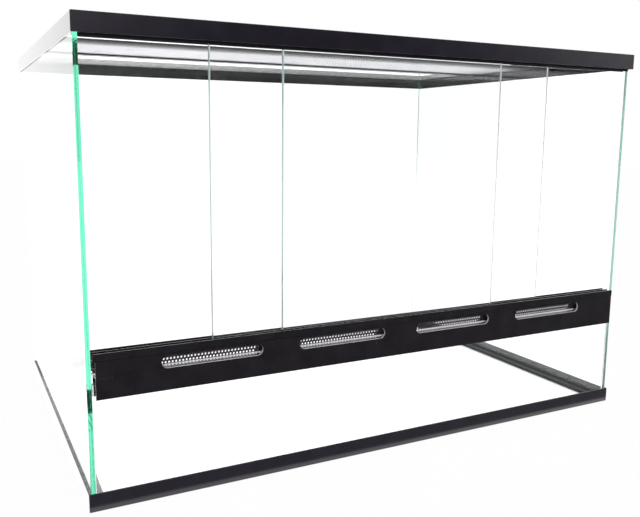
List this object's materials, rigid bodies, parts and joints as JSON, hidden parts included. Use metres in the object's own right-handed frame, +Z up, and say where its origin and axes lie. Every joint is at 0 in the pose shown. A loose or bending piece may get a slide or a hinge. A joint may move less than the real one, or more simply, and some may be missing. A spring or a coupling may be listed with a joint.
{
  "type": "terrarium cabinet",
  "caption": "Glass terrarium cabinet with dark metal rims, a perforated ceiling panel, a slotted front vent profile and sliding glass doors in a double track.",
  "frame": {"origin": "centre of the footprint at the plane that the base rails stand on", "axes": "+X along the front to the right, +Y to the back, +Z up"},
  "size_m": [0.6036, 0.4078, 0.4036],
  "materials": {
    "clear_glass": "clear float glass, ground edges",
    "rim_metal": "dark satin anodised",
    "profile_metal": "dark satin anodised, bare cut edges",
    "perforated_metal": "bare perforated sheet",
    "silicone": "clear silicone, smoothed by hand"
  },
  "bodies": {
    "cabinet": {"floor_pane": "clear_glass", "left_pane": "clear_glass", "right_pane": "clear_glass", "back_pane": "clear_glass", "lower_front_pane": "clear_glass", "top_front_strip": "clear_glass", "top_rear_strip": "clear_glass", "base_rail_front": "rim_metal", "base_rail_right": "rim_metal", "base_rail_back": "rim_metal", "base_rail_left": "rim_metal", "top_rail_front": "rim_metal", "top_rail_right": "rim_metal", "top_rail_back": "rim_metal", "top_rail_left": "rim_metal", "vent_rail": "profile_metal", "lower_track": "profile_metal", "upper_track": "profile_metal", "mesh_channel_front": "profile_metal", "mesh_channel_rear": "profile_metal", "vent_mesh_strip": "perforated_metal", "top_mesh_panel": "perforated_metal", "seam_rear_left": "silicone", "seam_rear_right": "silicone", "seam_floor_left": "silicone", "seam_floor_right": "silicone", "seam_lower_left": "silicone", "seam_lower_right": "silicone", "seam_bar_left": "silicone", "seam_bar_right": "silicone", "seam_ceiling_front_left": "silicone", "seam_ceiling_front_right": "silicone", "seam_ceiling_rear_left": "silicone", "seam_ceiling_rear_right": "silicone", "seam_floor_front": "silicone", "seam_floor_rear": "silicone", "seam_ceiling_back": "silicone", "seam_bar_front": "silicone", "seam_bar_rear": "silicone"},
    "front_door_pane": {"front_door": "clear_glass"},
    "rear_door_pane": {"rear_door": "clear_glass"}
  },
  "joints": [
    {"name": "front_door_slide", "type": "slide", "parent": "cabinet", "child": "front_door_pane", "axis": [1, 0, 0], "range_m": [-0.1035, 0.1789]},
    {"name": "rear_door_slide", "type": "slide", "parent": "cabinet", "child": "rear_door_pane", "axis": [1, 0, 0], "range_m": [-0.1727, 0.1097]}
  ]
}
